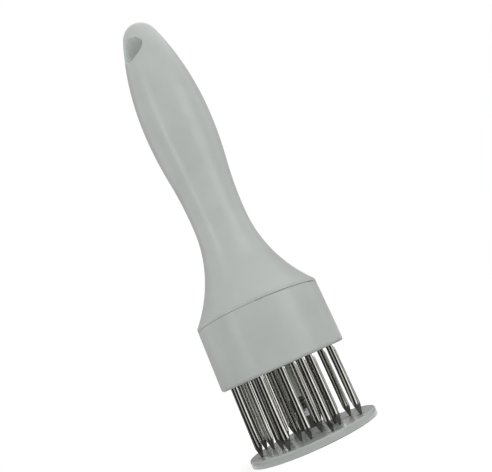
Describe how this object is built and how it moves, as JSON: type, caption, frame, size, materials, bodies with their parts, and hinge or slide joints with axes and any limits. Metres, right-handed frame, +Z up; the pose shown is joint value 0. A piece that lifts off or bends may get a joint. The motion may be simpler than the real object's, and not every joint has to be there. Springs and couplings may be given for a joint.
{
  "type": "meat tenderizer",
  "caption": "Press-down blade meat tenderizer: a bell-shaped hollow handle over a round holder with rings of flat pointed blades that come out through a sprung guard disc.",
  "frame": {"origin": "middle of the guard disc's under face, where the tool stands", "axes": "+Z up along the tool to the handle's round end; X along the blades' faces"},
  "size_m": [0.055, 0.055, 0.2099],
  "materials": {
    "grey_plastic": "satin moulded ABS, pale warm grey",
    "guard_plastic": "smooth moulded ABS, pale grey",
    "guide_plastic": "smooth turned acetal, mid grey",
    "buffer_rubber": "soft black rubber",
    "zinc_steel": "bright zinc plated",
    "spring_steel": "drawn stainless wire",
    "blade_steel": "ground and polished stainless steel"
  },
  "bodies": {
    "handle": {"handle": "grey_plastic", "blade_holder": "grey_plastic", "blade_clamp_plate": "grey_plastic", "guide_tube": "guide_plastic", "handle_screws": "zinc_steel", "clamp_screws": "zinc_steel", "blade_01": "blade_steel", "blade_02": "blade_steel", "blade_03": "blade_steel", "blade_04": "blade_steel", "blade_05": "blade_steel", "blade_06": "blade_steel", "blade_07": "blade_steel", "blade_08": "blade_steel", "blade_09": "blade_steel", "blade_10": "blade_steel", "blade_11": "blade_steel", "blade_12": "blade_steel", "blade_13": "blade_steel", "blade_14": "blade_steel", "blade_15": "blade_steel", "blade_16": "blade_steel", "blade_17": "blade_steel", "blade_18": "blade_steel", "blade_19": "blade_steel", "blade_20": "blade_steel", "blade_21": "blade_steel", "blade_22": "blade_steel", "blade_23": "blade_steel", "blade_24": "blade_steel", "return_spring": "spring_steel"},
    "guard": {"guard_disc": "guard_plastic", "guard_bolt": "zinc_steel", "guard_spacer": "buffer_rubber", "guard_nut": "zinc_steel", "guard_washer": "zinc_steel", "stem_buffer": "buffer_rubber", "guide_stem": "guide_plastic", "stop_washer": "zinc_steel", "stop_nut": "zinc_steel"}
  },
  "joints": [
    {"name": "guard_slide", "type": "slide", "parent": "handle", "child": "guard", "axis": [0, 0, 1], "range_m": [0, 0.0282], "stiffness_N_per_m": 740, "springref_m": -0.011, "deforming": ["return_spring"]}
  ]
}
